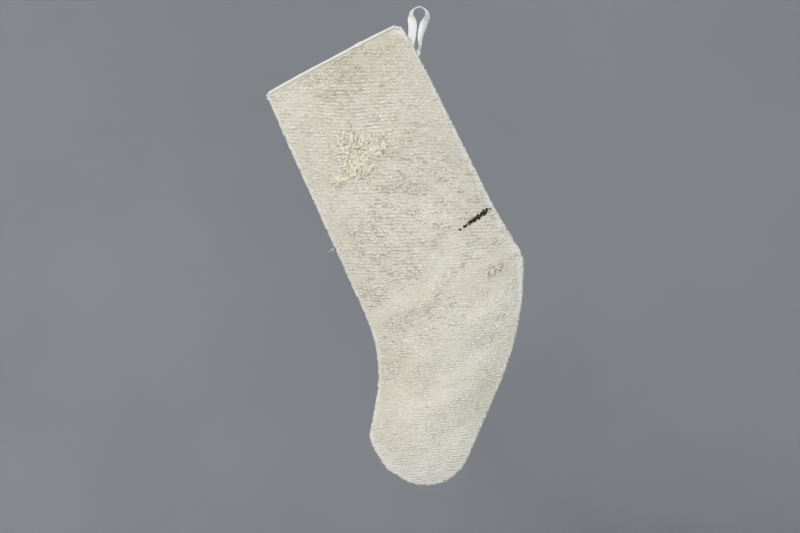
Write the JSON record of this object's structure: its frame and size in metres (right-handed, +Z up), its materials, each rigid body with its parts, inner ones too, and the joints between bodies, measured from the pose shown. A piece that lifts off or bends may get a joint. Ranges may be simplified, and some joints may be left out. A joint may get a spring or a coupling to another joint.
{
  "type": "hanging stocking",
  "caption": "Flat handmade Christmas stocking of cream rug wool with a cotton back, white lining, rolled mouth edge, shaggy pile patch and a tape hanging loop",
  "frame": {"origin": "the hang point, on the inside of the loop's crown, halfway across the tape", "axes": "+Z up; +X towards the heel side, to the right as the front is seen; the front looks along -Y and the back along +Y"},
  "size_m": [0.2738, 0.0299, 0.5084],
  "materials": {
    "rug_wool": "flat-woven rug wool with broken weft ribs, matt, slightly fuzzy",
    "back_canvas": "plain-woven cotton canvas, matt",
    "lining_cotton": "fine plain-woven cotton, matt",
    "binding_cotton": "rolled cotton edge, soft matt",
    "stitch_thread": "twisted sewing cotton, slight sheen",
    "pile_wool": "shaggy wool pile with yellowed ends, matt",
    "brown_wool": "twisted dark wool yarn, matt",
    "loop_tape": "white cotton twill tape, matt"
  },
  "bodies": {
    "crown": {"loop_crown": "loop_tape"},
    "loop_upper": {"loop_upper_left": "loop_tape", "loop_upper_right": "loop_tape"},
    "loop_lower": {"loop_lower_left": "loop_tape", "loop_lower_right": "loop_tape"},
    "stocking": {"front_panel": "rug_wool", "back_panel": "back_canvas", "lining_front": "lining_cotton", "lining_back": "lining_cotton", "side_seam": "rug_wool", "mouth_binding": "binding_cotton", "binding_lap": "binding_cotton", "binding_stitch": "stitch_thread", "pile_rosette": "pile_wool", "heel_tuft": "pile_wool", "brown_yarn": "brown_wool", "loop_tails": "loop_tape"}
  },
  "joints": [
    {"name": "loop_tilt", "type": "hinge", "parent": "crown", "child": "loop_upper", "pos_m": [0, 0, -0.018], "axis": [1, 0, 0], "range_deg": [-60, 60]},
    {"name": "loop_twist", "type": "hinge", "parent": "loop_upper", "child": "loop_lower", "pos_m": [-0.0006, 0, -0.0258], "axis": [0, 0, 1], "range_deg": [-35, 35]},
    {"name": "root_sway", "type": "hinge", "parent": "loop_lower", "child": "stocking", "pos_m": [-0.005, 0, -0.044], "axis": [0, 1, 0], "range_deg": [-60, 4]}
  ]
}
